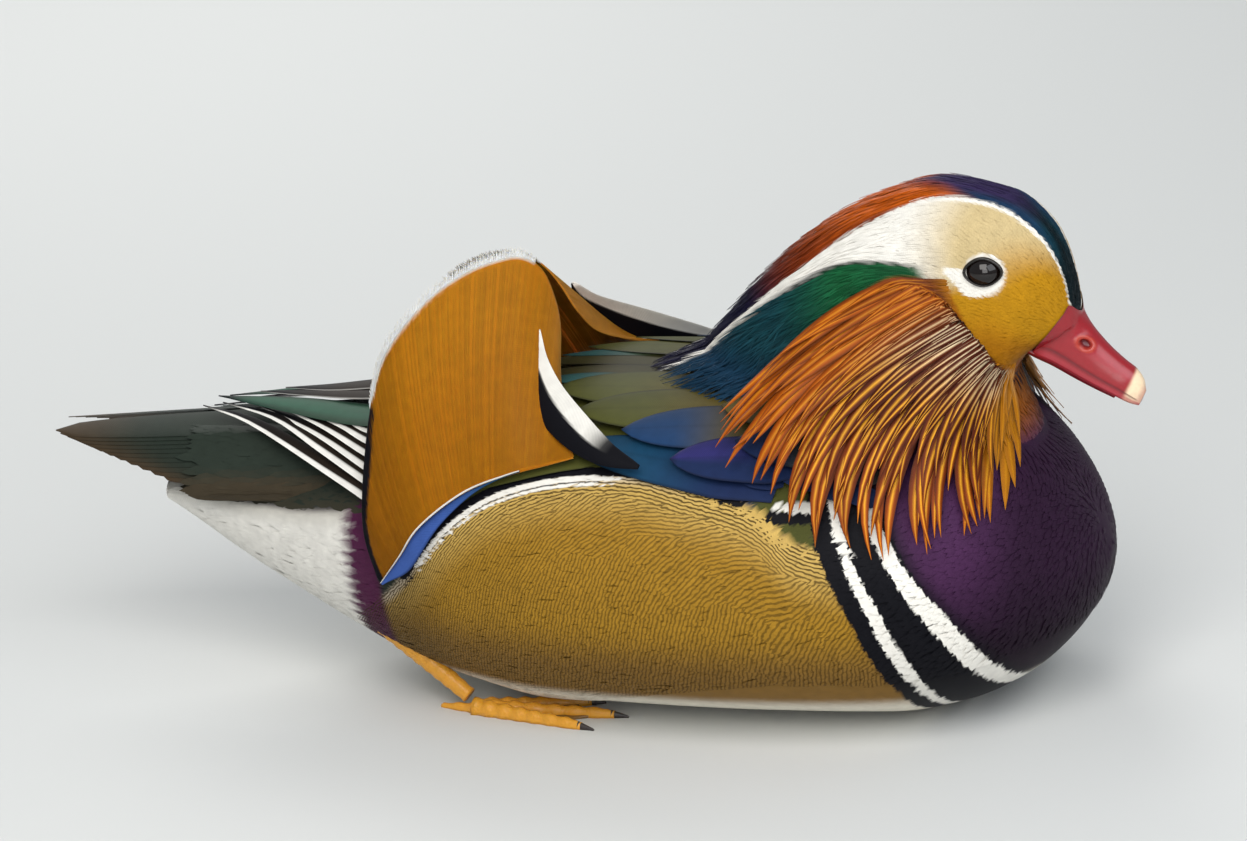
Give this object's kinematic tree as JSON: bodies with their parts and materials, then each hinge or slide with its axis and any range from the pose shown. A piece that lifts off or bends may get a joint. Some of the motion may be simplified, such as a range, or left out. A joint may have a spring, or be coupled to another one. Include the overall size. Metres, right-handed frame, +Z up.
{
  "type": "mandarin duck model",
  "caption": "Life-size drake mandarin duck sitting on its belly, neck drawn in, wing sails raised, crest and ruff spread, feet tucked under.",
  "frame": {"origin": "centre of the flat that the belly rests on, on the floor below the middle of the body", "axes": "+X towards the bill, +Y towards the bird's left side, +Z up from the floor"},
  "size_m": [0.352, 0.1438, 0.1665],
  "materials": {
    "body_plumage": "short close feathers: deep maroon purple breast, ochre flank with fine dark waves, white under the tail",
    "neck_plumage": "glossy green neck feathers with a white brow stripe above",
    "face_plumage": "short velvety feathers, cream above and golden ochre below the eye",
    "crest_plumes": "long silky plumes, dark teal and purple on the crown and rust behind",
    "ruff_hackles": "long pointed hackles, rust orange with paler shafts",
    "wing_coverts": "broad smooth feathers, olive brown with blue ones along the flank",
    "sickle_plume": "curved plume, black with a white upper edge",
    "sail_web": "one broad silky web of parallel barbs, orange ochre with a pale rim",
    "flight_feathers": "stiff flight feathers, dark with silvery white outer edges",
    "tail_feathers": "stiff tail feathers, dark olive brown",
    "bill": "smooth horn, crimson with a pale pinkish nail",
    "eye": "wet dark brown eye",
    "legs_and_feet": "scaly orange yellow skin with webs between the toes"
  },
  "bodies": {
    "root": {"torso": "body_plumage", "neck": "neck_plumage", "head": "face_plumage", "bill_upper": "bill", "bill_lower": "bill", "eye_right": "eye", "eye_left": "eye", "crest": "crest_plumes", "plumes_right": "neck_plumage", "plumes_left": "neck_plumage", "ruff_right": "ruff_hackles", "ruff_left": "ruff_hackles", "wing_right": "wing_coverts", "wing_left": "wing_coverts", "sickle_right": "sickle_plume", "sickle_left": "sickle_plume", "sail_right": "sail_web", "sail_left": "sail_web", "flight_right": "flight_feathers", "flight_left": "flight_feathers", "tail": "tail_feathers", "leg_right": "legs_and_feet", "leg_left": "legs_and_feet", "foot_right": "legs_and_feet", "foot_left": "legs_and_feet"}
  },
  "joints": []
}
